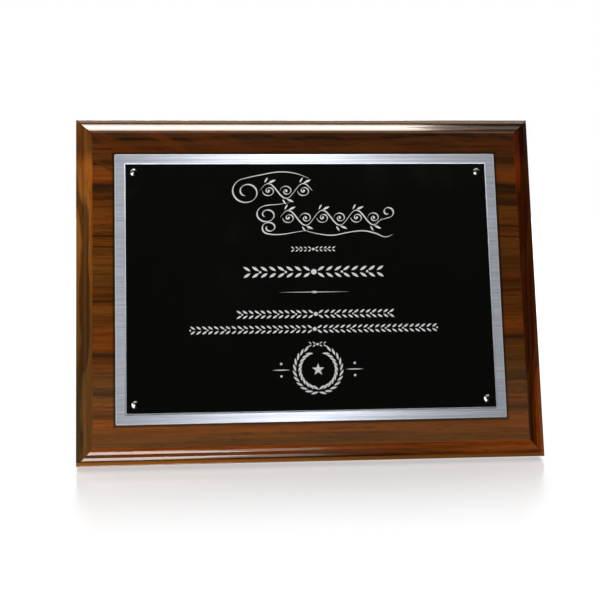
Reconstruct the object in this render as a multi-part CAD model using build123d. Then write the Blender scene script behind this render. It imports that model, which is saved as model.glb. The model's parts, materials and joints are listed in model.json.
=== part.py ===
from build123d import *
from math import atan2, cos, degrees, radians, sin, tan
import os

# Award plaque: a moulded walnut board with two stacked name plates, a keyhole
# hanger let into its back, and a hinged strut that folds flat behind it.
# The pieces are drawn on an upright board: X to the right, Z up, its back on
# Y = 0 and its front towards -Y. stand() then leans every piece back, onto
# the strut. All sizes are in millimetres.

os.makedirs("parts", exist_ok=True)

# ---------------------------------------------------------------- dimensions

# Board and its edge moulding
BOARD_WIDTH = 304.8
BOARD_HEIGHT = 228.6
BOARD_THICKNESS = 19.05
MOULDING_WIDTH = 10.5
MOULDING_DEPTH = 5.2
MOULDING_QUIRK = 0.6      # small square step where the moulding meets the face
MOULDING_LIP = 1.4        # left between the hollow and the side wall
LIP_ROUND = 0.7           # eased corner between the lip and the side wall
BACK_EDGE_RADIUS = 1.5

# Name plates: the black one lies on the silver one
PLATE_MARGIN = 25.4       # board left showing outside the silver plate
PLATE_BORDER = 6.35       # silver left showing outside the black plate
PLATE_THICKNESS = 0.8
PLATE_CORNER = 0.8
PLATE_BEVEL = 0.25        # bright bevel round the front of each plate
TAPE_THICKNESS = 0.15
TAPE_WIDTH = 12.0
TAPE_SETBACK = 3.0        # tape stays this far inside the plate it holds

# Plate pins
PIN_INSET = 6.35          # pin's axis from the black plate's edges
PIN_HEAD_RADIUS = 2.5
PIN_HEAD_HEIGHT = 1.8
PIN_HEAD_RIM = 0.5
PIN_FACETS = 8
PIN_SHANK_RADIUS = 0.7
PIN_SHANK_LENGTH = 11.0
PIN_POINT = 1.8

# Keyhole hanger, let in flush with the back
HANGER_WIDTH = 18.0
HANGER_HEIGHT = 42.0
HANGER_THICKNESS = 1.5
HANGER_CORNER = 3.0
HANGER_TOP_MARGIN = 12.0  # from the board's top edge to the hanger's
KEYHOLE_ENTRY_RADIUS = 4.5
KEYHOLE_SLOT_WIDTH = 4.4
KEYHOLE_TRAVEL = 11.0     # from the entry hole's centre up to the slot's end centre
POCKET_DEPTH = 7.0        # room behind the hanger for a screw's head
POCKET_MARGIN = 1.2       # pocket outside the keyhole's own outline

# Wood screws
HANGER_SCREW_RADIUS = 1.5
HANGER_SCREW_LENGTH = 12.0
BOARD_SCREW_RADIUS = 1.4
BOARD_SCREW_LENGTH = 11.0
LEG_SCREW_RADIUS = 1.1
LEG_SCREW_WOOD_LEFT = 0.8  # leg left in front of a leg screw's point
SCREW_HEAD_RATIO = 1.9    # head radius over shank radius
SCREW_RECESS_RATIO = 0.45  # cross recess's arm over head radius

# Rubber buttons that keep the back off a wall
BUMPER_RADIUS = 6.35
BUMPER_HEIGHT = 6.6
BUMPER_INSET = 20.0
BUMPER_ROUND = 1.2

# Strut, its hinge and its foot
LEAN = 14.0               # degrees that the board leans back from upright
LEG_SPREAD = 10.0         # degrees that the leg stands out from upright
HINGE_BELOW_HANGER = 7.0  # from the hanger down to the fixed leaf's upper edge
HINGE_WIDTH = 25.0
LEAF_THICKNESS = 1.0
LEAF_LENGTH = 18.0        # from the pin's axis to the leaf's far edge
LEAF_CORNER = 2.0
KNUCKLES = 5
KNUCKLE_GAP = 0.15
KNUCKLE_LIFT = 0.3        # air between the knuckles and the board
HINGE_PIN_RADIUS = 1.3
HINGE_PIN_CLEARANCE = 0.06
HINGE_PIN_HEAD = 0.5
LEG_THICKNESS = 4.0
LEG_TOP_WIDTH = 46.0
LEG_FOOT_WIDTH = 64.0
LEG_BACK_GAP = 0.3        # air between the folded leg and the board
LEG_NOTCH_GAP = 0.8       # air between the leg's notch and the hinge
LEG_EDGE_ROUND = 0.7
FOOT_THICKNESS = 2.5

# ------------------------------------------------------------ derived values

OPENING = LEAN + LEG_SPREAD
PIN_OFFSET = (LEG_BACK_GAP + LEG_THICKNESS + LEAF_THICKNESS + KNUCKLE_LIFT) / 2
KNUCKLE_RADIUS = PIN_OFFSET - KNUCKLE_LIFT
PLATE_WIDTH = BOARD_WIDTH - 2 * PLATE_MARGIN
PLATE_HEIGHT = BOARD_HEIGHT - 2 * PLATE_MARGIN
INNER_WIDTH = PLATE_WIDTH - 2 * PLATE_BORDER
INNER_HEIGHT = PLATE_HEIGHT - 2 * PLATE_BORDER
MID_HEIGHT = BOARD_HEIGHT / 2

FRONT = -BOARD_THICKNESS
BORDER_BACK = FRONT - TAPE_THICKNESS
BORDER_FRONT = BORDER_BACK - PLATE_THICKNESS
INNER_BACK = BORDER_FRONT - TAPE_THICKNESS
INNER_FRONT = INNER_BACK - PLATE_THICKNESS

HANGER_TOP = BOARD_HEIGHT - HANGER_TOP_MARGIN
HANGER_MIDDLE = HANGER_TOP - HANGER_HEIGHT / 2
ENTRY_HEIGHT = HANGER_MIDDLE - KEYHOLE_TRAVEL / 2
SLOT_END_HEIGHT = HANGER_MIDDLE + KEYHOLE_TRAVEL / 2
HINGE_HEIGHT = HANGER_TOP - HANGER_HEIGHT - HINGE_BELOW_HANGER - LEAF_LENGTH

PIN_PLACES = [
    (side * (INNER_WIDTH / 2 - PIN_INSET), MID_HEIGHT + up * (INNER_HEIGHT / 2 - PIN_INSET))
    for up in (-1, 1)
    for side in (-1, 1)
]
BUMPER_PLACES = [
    (side * (BOARD_WIDTH / 2 - BUMPER_INSET), MID_HEIGHT + up * (BOARD_HEIGHT / 2 - BUMPER_INSET))
    for up in (-1, 1)
    for side in (-1, 1)
]

# ----------------------------------------------------------- shared drawing


def block(width, height, y_back, y_front, z_middle, x_middle=0.0):
    """A slab parallel to the board, from y_back (nearer the wall) to y_front."""
    middle = Location((x_middle, (y_back + y_front) / 2, z_middle))
    return middle * Box(width, y_back - y_front, height)


def rod(radius, y_back, y_front, x, z):
    """A round bar square to the board, from y_back to y_front."""
    axis = Plane(origin=(x, y_back, z), x_dir=(1, 0, 0), z_dir=(0, -1, 0))
    return extrude(axis * Circle(radius), y_back - y_front)


def countersunk(radius, head_radius, y_head, length, x, z, inward):
    """A screw's body, or the hole it cuts: a conical head, a shank and a point.

    The head's flat face is on y_head, and the screw runs inward (+1 towards
    +Y, -1 towards -Y) for its length.
    """
    cone = head_radius - radius
    outline = Polyline(
        (0, 0),
        (head_radius, 0),
        (radius, cone),
        (radius, length - 2 * radius),
        (0.15 * radius, length),
        (0, length),
        close=True,
    )
    profile = make_face(outline)
    turned = revolve(profile, Axis.Y)
    if inward < 0:
        turned = mirror(turned, Plane.XZ)
    return Location((x, y_head, z)) * turned


def screw(radius, y_head, length, x, z, inward):
    """A countersunk wood screw with a cross recess in its head."""
    head_radius = radius * SCREW_HEAD_RATIO
    body = countersunk(radius, head_radius, y_head, length, x, z, inward)
    arm = 2 * head_radius * SCREW_RECESS_RATIO
    depth = 0.8 * (head_radius - radius)
    recess_middle = y_head + inward * depth / 2
    slot_width = 0.3 * head_radius
    across = Location((x, recess_middle, z)) * Box(arm, depth, slot_width)
    upright = Location((x, recess_middle, z)) * Box(slot_width, depth, arm)
    return body - across - upright


def screw_hole(radius, y_head, length, x, z, inward):
    """The hole that the same screw fills."""
    return countersunk(radius, radius * SCREW_HEAD_RATIO, y_head, length, x, z, inward)


def group(solids):
    """Several separate solids that share one node."""
    return Compound([item.solid() for item in solids])


# ------------------------------------------------------------------- plates


def plate(width, height, y_back, y_front):
    """A thin plate centred on the board, its corners rounded, its front bevelled."""
    body = block(width, height, y_back, y_front, MID_HEIGHT)
    body = fillet(body.edges().filter_by(Axis.Y), PLATE_CORNER)
    front_edges = body.faces().sort_by(Axis.Y)[0].edges()
    return chamfer(front_edges, PLATE_BEVEL)


def tape_strips(width, height, y_back, y_front):
    """Two strips of adhesive tape along a plate's top and bottom."""
    length = width - 2 * TAPE_SETBACK - 4 * PIN_INSET
    offset = height / 2 - TAPE_SETBACK - TAPE_WIDTH / 2
    return group(
        [
            block(length, TAPE_WIDTH, y_back, y_front, MID_HEIGHT + side * offset)
            for side in (-1, 1)
        ]
    )


def pin_shank_holes(y_back, y_front):
    """The four pin holes through everything between y_back and y_front."""
    return [rod(PIN_SHANK_RADIUS, y_back, y_front, x, z) for x, z in PIN_PLACES]


def plate_pin(x, z):
    """A pin with a faceted head: a low pyramid on a short rim, and a shank."""
    seat = Plane(origin=(x, INNER_FRONT, z), x_dir=(1, 0, 0), z_dir=(0, -1, 0))
    half_facet = 180.0 / PIN_FACETS
    rim_outline = Rot(0, 0, half_facet) * RegularPolygon(PIN_HEAD_RADIUS, PIN_FACETS)
    girdle_outline = Rot(0, 0, half_facet) * RegularPolygon(0.55 * PIN_HEAD_RADIUS, PIN_FACETS)
    rim = extrude(seat * rim_outline, PIN_HEAD_RIM)
    crown_base = seat.offset(PIN_HEAD_RIM) * rim_outline
    crown_top = seat.offset(0.75 * PIN_HEAD_HEIGHT) * girdle_outline
    crown = loft([crown_base, crown_top])
    tip = seat.offset(PIN_HEAD_HEIGHT)
    table_outline = Rot(0, 0, half_facet) * RegularPolygon(0.12 * PIN_HEAD_RADIUS, PIN_FACETS)
    peak = loft([crown_top, tip * table_outline])
    straight = PIN_SHANK_LENGTH - PIN_POINT
    shank = rod(PIN_SHANK_RADIUS, INNER_FRONT + straight, INNER_FRONT, x, z)
    point_base = Plane(
        origin=(x, INNER_FRONT + straight, z), x_dir=(1, 0, 0), z_dir=(0, 1, 0)
    )
    point = loft(
        [
            point_base * Circle(PIN_SHANK_RADIUS),
            point_base.offset(PIN_POINT) * Circle(0.15 * PIN_SHANK_RADIUS),
        ]
    )
    return rim + crown + peak + shank + point


def plate_pin_hole(x, z):
    """The hole that one pin's shank and point fill in the board."""
    straight = PIN_SHANK_LENGTH - PIN_POINT
    shank = rod(PIN_SHANK_RADIUS, INNER_FRONT + straight, FRONT, x, z)
    point_base = Plane(
        origin=(x, INNER_FRONT + straight, z), x_dir=(1, 0, 0), z_dir=(0, 1, 0)
    )
    point = loft(
        [
            point_base * Circle(PIN_SHANK_RADIUS),
            point_base.offset(PIN_POINT) * Circle(0.15 * PIN_SHANK_RADIUS),
        ]
    )
    return shank + point


# ------------------------------------------------------------- hanger shapes


def keyhole(y_back, y_front, margin=0.0):
    """The keyhole's outline as a solid: entry hole below, slot above."""
    entry = rod(KEYHOLE_ENTRY_RADIUS + margin, y_back, y_front, 0, ENTRY_HEIGHT)
    slot_end = rod(KEYHOLE_SLOT_WIDTH / 2 + margin, y_back, y_front, 0, SLOT_END_HEIGHT)
    slot = block(
        KEYHOLE_SLOT_WIDTH + 2 * margin,
        KEYHOLE_TRAVEL,
        y_back,
        y_front,
        HANGER_MIDDLE,
    )
    return entry + slot + slot_end


def hanger_blank(y_back, y_front):
    """The hanger plate's outline, as a solid with rounded corners."""
    body = block(HANGER_WIDTH, HANGER_HEIGHT, y_back, y_front, HANGER_MIDDLE)
    return fillet(body.edges().filter_by(Axis.Y), HANGER_CORNER)


def hanger_screw_heights():
    """One screw below the entry hole and one above the slot."""
    head = HANGER_SCREW_RADIUS * SCREW_HEAD_RATIO
    low_gap = (ENTRY_HEIGHT - KEYHOLE_ENTRY_RADIUS) - (HANGER_TOP - HANGER_HEIGHT)
    high_gap = HANGER_TOP - (SLOT_END_HEIGHT + KEYHOLE_SLOT_WIDTH / 2)
    low = HANGER_TOP - HANGER_HEIGHT + max(low_gap / 2, head)
    high = HANGER_TOP - max(high_gap / 2, head)
    return (low, high)


def screw_head_pocket():
    """The hollow behind the keyhole: as wide as the entry hole all the way up."""
    radius = KEYHOLE_ENTRY_RADIUS + POCKET_MARGIN
    y_front = -HANGER_THICKNESS - POCKET_DEPTH
    low = rod(radius, -HANGER_THICKNESS, y_front, 0, ENTRY_HEIGHT)
    high = rod(radius, -HANGER_THICKNESS, y_front, 0, SLOT_END_HEIGHT)
    middle = block(2 * radius, KEYHOLE_TRAVEL, -HANGER_THICKNESS, y_front, HANGER_MIDDLE)
    return low + middle + high


# -------------------------------------------------------------- hinge shapes


def leaf_screw_places():
    """Where the screws of one leaf stand: (x, distance from the pin's axis)."""
    side = HINGE_WIDTH / 2 - 1.5 * BOARD_SCREW_RADIUS * SCREW_HEAD_RATIO
    near = KNUCKLE_RADIUS + 1.6 * BOARD_SCREW_RADIUS * SCREW_HEAD_RATIO
    far = LEAF_LENGTH - 1.5 * BOARD_SCREW_RADIUS * SCREW_HEAD_RATIO
    return [(-side, near), (side, near), (0.0, far)]


def knuckle_spans():
    """Each knuckle's ends along the pin, from one side of the hinge to the other."""
    length = (HINGE_WIDTH - (KNUCKLES - 1) * KNUCKLE_GAP) / KNUCKLES
    starts = [-HINGE_WIDTH / 2 + index * (length + KNUCKLE_GAP) for index in range(KNUCKLES)]
    return [(start, start + length) for start in starts]


def pin_bar(radius, x_low, x_high):
    """A round bar on the hinge pin's axis."""
    end = Plane(origin=(x_low, PIN_OFFSET, HINGE_HEIGHT), x_dir=(0, 1, 0), z_dir=(1, 0, 0))
    return extrude(end * Circle(radius), x_high - x_low)


def leaf(leaf_back, leaf_front, direction, spans, bore_radius):
    """A hinge leaf: a flat sheet and the knuckles rolled on its edge.

    The sheet lies between leaf_front and leaf_back and runs from the pin's
    height up (direction +1) or down (-1). Between its own knuckles it is cut
    back so that the other leaf's knuckles turn freely.
    """
    middle = HINGE_HEIGHT + direction * LEAF_LENGTH / 2
    sheet = block(HINGE_WIDTH, LEAF_LENGTH, leaf_back, leaf_front, middle)
    far_edges = sheet.edges().filter_by(Axis.Y).sort_by(Axis.Z)
    outer = far_edges[-2:] if direction > 0 else far_edges[:2]
    sheet = fillet(outer, LEAF_CORNER)
    relief = KNUCKLE_RADIUS + 3 * KNUCKLE_GAP
    body = sheet
    for index, (x_low, x_high) in enumerate(knuckle_spans()):
        if index in spans:
            body = body + pin_bar(KNUCKLE_RADIUS, x_low, x_high)
        else:
            width = x_high - x_low + 2 * KNUCKLE_GAP
            body = body - block(
                width,
                2 * relief,
                leaf_back + KNUCKLE_RADIUS,
                leaf_front - KNUCKLE_RADIUS,
                HINGE_HEIGHT,
                (x_low + x_high) / 2,
            )
    return body - pin_bar(bore_radius, -HINGE_WIDTH, HINGE_WIDTH)


# ---------------------------------------------------------------- leg shapes

PIN_RISE = -PIN_OFFSET * sin(radians(LEAN)) + HINGE_HEIGHT * cos(radians(LEAN))
BOARD_DROP = BACK_EDGE_RADIUS * (sin(radians(LEAN)) + cos(radians(LEAN)) - 1)
PIN_TO_FLOOR = PIN_RISE - BOARD_DROP
LEG_INNER = LEG_BACK_GAP
LEG_OUTER = LEG_BACK_GAP + LEG_THICKNESS


def foot_height(y, above_floor=0.0):
    """Height, on the folded leg, of the plane parallel to the floor it stands on."""
    offset = y - PIN_OFFSET
    spread = radians(LEG_SPREAD)
    return HINGE_HEIGHT - (PIN_TO_FLOOR - above_floor + offset * sin(spread)) / cos(spread)


def ear_height(y):
    """Height, on the folded leg, of the bevel that meets the board when open."""
    offset = y - PIN_OFFSET
    opening = radians(OPENING)
    return HINGE_HEIGHT + (offset * cos(opening) + PIN_OFFSET) / sin(opening)


def leg_blank():
    """The folded leg's side outline, drawn wide, then tapered to its sides."""
    section = make_face(
        Polyline(
            (LEG_INNER, foot_height(LEG_INNER, FOOT_THICKNESS)),
            (LEG_OUTER, foot_height(LEG_OUTER, FOOT_THICKNESS)),
            (LEG_OUTER, ear_height(LEG_OUTER)),
            (LEG_INNER, ear_height(LEG_INNER)),
            close=True,
        )
    )
    side = Plane(origin=(0, 0, 0), x_dir=(0, 1, 0), z_dir=(1, 0, 0))
    return extrude(side * section, LEG_FOOT_WIDTH, both=True)


def leg_taper(z_low):
    """The leg's front outline, wider at the foot, as a solid that trims a blank."""
    top = ear_height(LEG_OUTER)
    outline = Polyline(
        (-LEG_TOP_WIDTH / 2, top),
        (LEG_TOP_WIDTH / 2, top),
        (LEG_FOOT_WIDTH / 2, z_low),
        (-LEG_FOOT_WIDTH / 2, z_low),
        close=True,
    )
    upright = Plane(origin=(0, LEG_OUTER + 1, 0), x_dir=(1, 0, 0), z_dir=(0, -1, 0))
    return extrude(upright * make_face(outline), LEG_THICKNESS + 2)


# ------------------------------------------------------------- the sub-parts


def board():
    """Solid walnut with an ogee run along all four edges and mitred corners."""
    body = block(BOARD_WIDTH, BOARD_HEIGHT, 0, FRONT, MID_HEIGHT)
    back_edges = body.faces().sort_by(Axis.Y)[-1].edges()
    body = fillet(back_edges, BACK_EDGE_RADIUS)
    across = MOULDING_WIDTH - MOULDING_LIP
    fall = MOULDING_DEPTH - MOULDING_QUIRK
    tilt = 2 * atan2(fall, across)
    swell_radius = across / (2 * sin(tilt))
    half = (across / 2, fall / 2)
    past = 2.0
    for turn, reach, centre_x in (
        (0, BOARD_WIDTH, 0.0),
        (90, BOARD_HEIGHT, 0.0),
        (180, BOARD_WIDTH, 0.0),
        (270, BOARD_HEIGHT, 0.0),
    ):
        inset = (BOARD_HEIGHT if turn % 180 == 0 else BOARD_WIDTH) / 2
        # u runs outwards from the moulding's start on the face, v into the board
        start = (0.0, MOULDING_QUIRK)
        middle = (half[0], MOULDING_QUIRK + half[1])
        end = (across, MOULDING_DEPTH)
        lip_end = (MOULDING_WIDTH - LIP_ROUND, MOULDING_DEPTH)
        wall_start = (MOULDING_WIDTH, MOULDING_DEPTH + LIP_ROUND)
        swell = RadiusArc(start, middle, -swell_radius)
        hollow = RadiusArc(middle, end, swell_radius)
        lip = Line(end, lip_end)
        easing = RadiusArc(lip_end, wall_start, -LIP_ROUND)
        rest = Polyline(
            wall_start,
            (MOULDING_WIDTH + past, MOULDING_DEPTH + LIP_ROUND),
            (MOULDING_WIDTH + past, -past),
            (0.0, -past),
            start,
        )
        profile = make_face([swell, hollow, lip, easing, rest])
        corner = Plane(
            origin=(-reach / 2 - past, FRONT, -(inset - MOULDING_WIDTH)),
            x_dir=(0, 0, -1),
            z_dir=(1, 0, 0),
        )
        bar = extrude(corner * profile, reach + 2 * past)
        turned = bar.rotate(Axis.Y, turn)
        body = body - turned.translate((0, 0, MID_HEIGHT))
    body = body - hanger_blank(0, -HANGER_THICKNESS) - screw_head_pocket()
    for x, z in PIN_PLACES:
        body = body - plate_pin_hole(x, z)
    for z in hanger_screw_heights():
        body = body - screw_hole(HANGER_SCREW_RADIUS, 0, HANGER_SCREW_LENGTH, 0, z, -1)
    for x, distance in leaf_screw_places():
        body = body - screw_hole(
            BOARD_SCREW_RADIUS, LEAF_THICKNESS, BOARD_SCREW_LENGTH, x, HINGE_HEIGHT + distance, -1
        )
    return body


def border_plate():
    """Brushed silver plate, taped and pinned to the board."""
    body = plate(PLATE_WIDTH, PLATE_HEIGHT, BORDER_BACK, BORDER_FRONT)
    for hole in pin_shank_holes(BORDER_BACK, BORDER_FRONT):
        body = body - hole
    return body


def engraved_plate():
    """Black plate on the silver one, through which the pins are driven."""
    body = plate(INNER_WIDTH, INNER_HEIGHT, INNER_BACK, INNER_FRONT)
    for hole in pin_shank_holes(INNER_BACK, INNER_FRONT):
        body = body - hole
    return body


def hanger_plate():
    """Steel plate with the keyhole that hangs on a wall screw."""
    body = hanger_blank(0, -HANGER_THICKNESS) - keyhole(0, -HANGER_THICKNESS)
    for z in hanger_screw_heights():
        body = body - screw_hole(HANGER_SCREW_RADIUS, 0, HANGER_SCREW_LENGTH, 0, z, -1)
    return body


def wall_bumper(x, z):
    """A rubber button stuck to the back, its outer rim rounded."""
    body = rod(BUMPER_RADIUS, BUMPER_HEIGHT, 0, x, z)
    rim = body.edges().filter_by(GeomType.CIRCLE).sort_by(Axis.Y)[-1]
    return fillet(rim, BUMPER_ROUND)


def hinge_fixed_leaf():
    """The leaf screwed to the board, with the outer and the middle knuckles."""
    own = range(0, KNUCKLES, 2)
    body = leaf(LEAF_THICKNESS, 0, 1, own, HINGE_PIN_RADIUS)
    for x, distance in leaf_screw_places():
        body = body - screw_hole(
            BOARD_SCREW_RADIUS, LEAF_THICKNESS, BOARD_SCREW_LENGTH, x, HINGE_HEIGHT + distance, -1
        )
    return body


def leg_screw_length():
    """A leg screw stops short of the leg's inner face."""
    return LEAF_THICKNESS + LEG_THICKNESS - LEG_SCREW_WOOD_LEFT


def hinge_moving_leaf():
    """The leaf screwed to the leg, with the knuckles in between."""
    own = range(1, KNUCKLES, 2)
    leaf_back = LEG_OUTER + LEAF_THICKNESS
    body = leaf(leaf_back, LEG_OUTER, -1, own, HINGE_PIN_RADIUS + HINGE_PIN_CLEARANCE)
    for x, distance in leaf_screw_places():
        body = body - screw_hole(
            LEG_SCREW_RADIUS, leaf_back, leg_screw_length(), x, HINGE_HEIGHT - distance, -1
        )
    return body


def hinge_pin():
    """Steel pin, headed over at both ends."""
    half = HINGE_WIDTH / 2
    head_radius = 0.8 * KNUCKLE_RADIUS
    body = pin_bar(HINGE_PIN_RADIUS, -half, half)
    left = pin_bar(head_radius, -half - HINGE_PIN_HEAD, -half)
    right = pin_bar(head_radius, half, half + HINGE_PIN_HEAD)
    return body + left + right


def easel_leg():
    """Strut with two ears beside the hinge, bevelled to rest on the board."""
    low = foot_height(LEG_OUTER)
    body = leg_blank() & leg_taper(low)
    long_edges = body.edges().filter_by(lambda edge: edge.length > HINGE_HEIGHT / 2)
    body = fillet(long_edges, LEG_EDGE_ROUND)
    notch_width = HINGE_WIDTH + 2 * (LEG_NOTCH_GAP + HINGE_PIN_HEAD)
    notch_low = HINGE_HEIGHT - KNUCKLE_RADIUS - LEG_NOTCH_GAP
    notch_high = ear_height(LEG_OUTER) + 1
    notch = block(
        notch_width,
        notch_high - notch_low,
        LEG_OUTER + 1,
        LEG_INNER - 1,
        (notch_high + notch_low) / 2,
    )
    body = body - notch
    leaf_back = LEG_OUTER + LEAF_THICKNESS
    for x, distance in leaf_screw_places():
        body = body - screw_hole(
            LEG_SCREW_RADIUS, leaf_back, leg_screw_length(), x, HINGE_HEIGHT - distance, -1
        )
    return body


def leg_foot():
    """Rubber strip on the leg's end, its sole flat on the floor when open."""
    section = make_face(
        Polyline(
            (LEG_INNER, foot_height(LEG_INNER)),
            (LEG_OUTER, foot_height(LEG_OUTER)),
            (LEG_OUTER, foot_height(LEG_OUTER, FOOT_THICKNESS)),
            (LEG_INNER, foot_height(LEG_INNER, FOOT_THICKNESS)),
            close=True,
        )
    )
    side = Plane(origin=(0, 0, 0), x_dir=(0, 1, 0), z_dir=(1, 0, 0))
    blank = extrude(side * section, LEG_FOOT_WIDTH, both=True)
    return blank & leg_taper(foot_height(LEG_OUTER))


# --------------------------------------------------------------- assembly

board_pieces = {
    "board": board(),
    "border_plate": border_plate(),
    "engraved_plate": engraved_plate(),
    "border_plate_tape": tape_strips(PLATE_WIDTH, PLATE_HEIGHT, FRONT, BORDER_BACK),
    "engraved_plate_tape": tape_strips(INNER_WIDTH, INNER_HEIGHT, BORDER_FRONT, INNER_BACK),
    "plate_pins": group([plate_pin(x, z) for x, z in PIN_PLACES]),
    "hanger_plate": hanger_plate(),
    "hanger_screws": group(
        [
            screw(HANGER_SCREW_RADIUS, 0, HANGER_SCREW_LENGTH, 0, z, -1)
            for z in hanger_screw_heights()
        ]
    ),
    "wall_bumpers": group([wall_bumper(x, z) for x, z in BUMPER_PLACES]),
    "hinge_fixed_leaf": hinge_fixed_leaf(),
    "hinge_pin": hinge_pin(),
    "board_hinge_screws": group(
        [
            screw(
                BOARD_SCREW_RADIUS,
                LEAF_THICKNESS,
                BOARD_SCREW_LENGTH,
                x,
                HINGE_HEIGHT + distance,
                -1,
            )
            for x, distance in leaf_screw_places()
        ]
    ),
}
leg_pieces = {
    "hinge_moving_leaf": hinge_moving_leaf(),
    "easel_leg": easel_leg(),
    "leg_foot": leg_foot(),
    "leg_hinge_screws": group(
        [
            screw(
                LEG_SCREW_RADIUS,
                LEG_OUTER + LEAF_THICKNESS,
                leg_screw_length(),
                x,
                HINGE_HEIGHT - distance,
                -1,
            )
            for x, distance in leaf_screw_places()
        ]
    ),
}


def stand(shape):
    """Lean a piece back with the board, its bottom back edge on the floor."""
    return shape.rotate(Axis.X, -LEAN).translate((0, 0, -BOARD_DROP))


def swing_open(shape):
    """Turn a folded leg piece about the hinge pin to where it stands."""
    pin_axis = Axis((0, PIN_OFFSET, HINGE_HEIGHT), (1, 0, 0))
    return shape.rotate(pin_axis, OPENING)


placed = {name: stand(shape) for name, shape in board_pieces.items()}
placed.update({name: stand(swing_open(shape)) for name, shape in leg_pieces.items()})

# The origin is on the floor, at the middle of the whole object's box.
boxes = [shape.bounding_box() for shape in placed.values()]
front_y = min(box.min.Y for box in boxes)
back_y = max(box.max.Y for box in boxes)
middle_y = (front_y + back_y) / 2
for name, shape in placed.items():
    export_step(shape.translate((0, -middle_y, 0)), f"parts/{name}.step")

pin_world = (
    PIN_OFFSET * cos(radians(LEAN)) + HINGE_HEIGHT * sin(radians(LEAN)) - middle_y,
    PIN_TO_FLOOR,
)
print("hinge pin axis: y %.4f, z %.4f" % pin_world)
print("leg opens by %.1f degrees" % OPENING)
print("lowest point %.4f" % min(box.min.Z for box in boxes))
print("moulding slope %.1f degrees" % degrees(2 * atan2(
    MOULDING_DEPTH - MOULDING_QUIRK, MOULDING_WIDTH - MOULDING_LIP)))
print("folded leg stops %.2f above the board's bottom edge" % foot_height(LEG_OUTER))
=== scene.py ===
import json
import math

import bpy
from mathutils import Matrix, Vector


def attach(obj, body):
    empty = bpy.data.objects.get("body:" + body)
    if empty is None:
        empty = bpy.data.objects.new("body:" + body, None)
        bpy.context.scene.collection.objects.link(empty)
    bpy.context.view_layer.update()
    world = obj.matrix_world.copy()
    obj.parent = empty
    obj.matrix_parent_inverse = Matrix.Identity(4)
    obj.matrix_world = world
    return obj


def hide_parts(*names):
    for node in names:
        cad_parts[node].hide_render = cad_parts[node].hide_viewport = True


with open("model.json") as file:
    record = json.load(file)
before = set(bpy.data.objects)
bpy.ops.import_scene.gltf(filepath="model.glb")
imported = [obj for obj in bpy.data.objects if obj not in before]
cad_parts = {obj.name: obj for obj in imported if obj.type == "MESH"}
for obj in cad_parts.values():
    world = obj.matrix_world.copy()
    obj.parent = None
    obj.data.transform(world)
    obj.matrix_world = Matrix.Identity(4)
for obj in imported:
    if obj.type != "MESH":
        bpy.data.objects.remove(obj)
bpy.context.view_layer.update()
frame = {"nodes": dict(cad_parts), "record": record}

# ---------------------------------------------------------------------------
# Camera. The board leans back on its easel leg, and the camera stands a little
# to the left and a few degrees above the table, with a slight roll.
# ---------------------------------------------------------------------------
mounts = {mount["name"]: mount for mount in frame["record"]["mounts"]}
wall_axis = mounts["wall_bumper_face"]["axis"]
lean = math.atan2(-wall_axis[2], wall_axis[1])
lean_back = Matrix.Rotation(-lean, 4, "X")
stand_up = Matrix.Rotation(lean, 4, "X")


def upright_box(name):
    """Lowest and highest corner of a CAD node, measured with the board stood upright."""
    points = [stand_up @ vertex.co for vertex in frame["nodes"][name].data.vertices]
    low = Vector([min(point[axis] for point in points) for axis in range(3)])
    high = Vector([max(point[axis] for point in points) for axis in range(3)])
    return low, high


board_low, board_high = upright_box("board")
board_middle = Vector((0.0, board_high.y, (board_low.z + board_high.z) / 2))

CAMERA_DISTANCE = 0.872
CAMERA_TURN = math.radians(-5.5)
CAMERA_DROP = math.radians(-9.0)
CAMERA_ROLL = math.radians(-1.54)
CAMERA_ASIDE = -0.0051
CAMERA_BELOW = -0.0062
CAMERA_LENS = 78.0
SENSOR_WIDTH = 36.0

camera_back = Vector((
    math.sin(CAMERA_TURN) * math.cos(CAMERA_DROP),
    -math.cos(CAMERA_TURN) * math.cos(CAMERA_DROP),
    math.sin(CAMERA_DROP),
))
camera_right = Vector((math.cos(CAMERA_TURN), math.sin(CAMERA_TURN), 0.0))
camera_up = camera_back.cross(camera_right)
camera_place = board_middle + camera_back * CAMERA_DISTANCE
camera_place += camera_right * CAMERA_ASIDE + camera_up * CAMERA_BELOW

bpy.ops.object.select_all(action="DESELECT")
bpy.ops.object.camera_add()
camera = bpy.context.object
camera.name = "front_camera"
camera.data.lens = CAMERA_LENS
camera.data.sensor_width = SENSOR_WIDTH
camera.data.clip_start = 0.01
camera.data.clip_end = 50.0
facing = Matrix((camera_right, camera_up, camera_back)).transposed().to_4x4()
camera.matrix_world = (
    lean_back @ Matrix.Translation(camera_place) @ facing @ Matrix.Rotation(CAMERA_ROLL, 4, "Z")
)
bpy.context.scene.camera = camera
bpy.context.scene.view_settings.view_transform = "Standard"

# ---------------------------------------------------------------------------
# Room. White behind and dim in front, so that gloss black stays black. Two softboxes
# light the matt surfaces. The other lamps are cards that show only in gloss, each
# kept to the piece it was set for.
# ---------------------------------------------------------------------------


def shader_node(tree, kind, inputs=None, **properties):
    """Adds a node. An input is set to a value, or wired where another node's socket is given."""
    made = tree.nodes.new(kind)
    for name, value in properties.items():
        setattr(made, name, value)
    for name, value in (inputs or {}).items():
        if isinstance(value, bpy.types.NodeSocket):
            tree.links.new(value, made.inputs[name])
        else:
            made.inputs[name].default_value = value
    return made


def calculate(tree, operation, first, second=0.0, third=0.0, clamp=False):
    """One Math node's value."""
    made = shader_node(
        tree, "ShaderNodeMath", {0: first, 1: second, 2: third}, operation=operation, use_clamp=clamp
    )
    return made.outputs[0]


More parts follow.
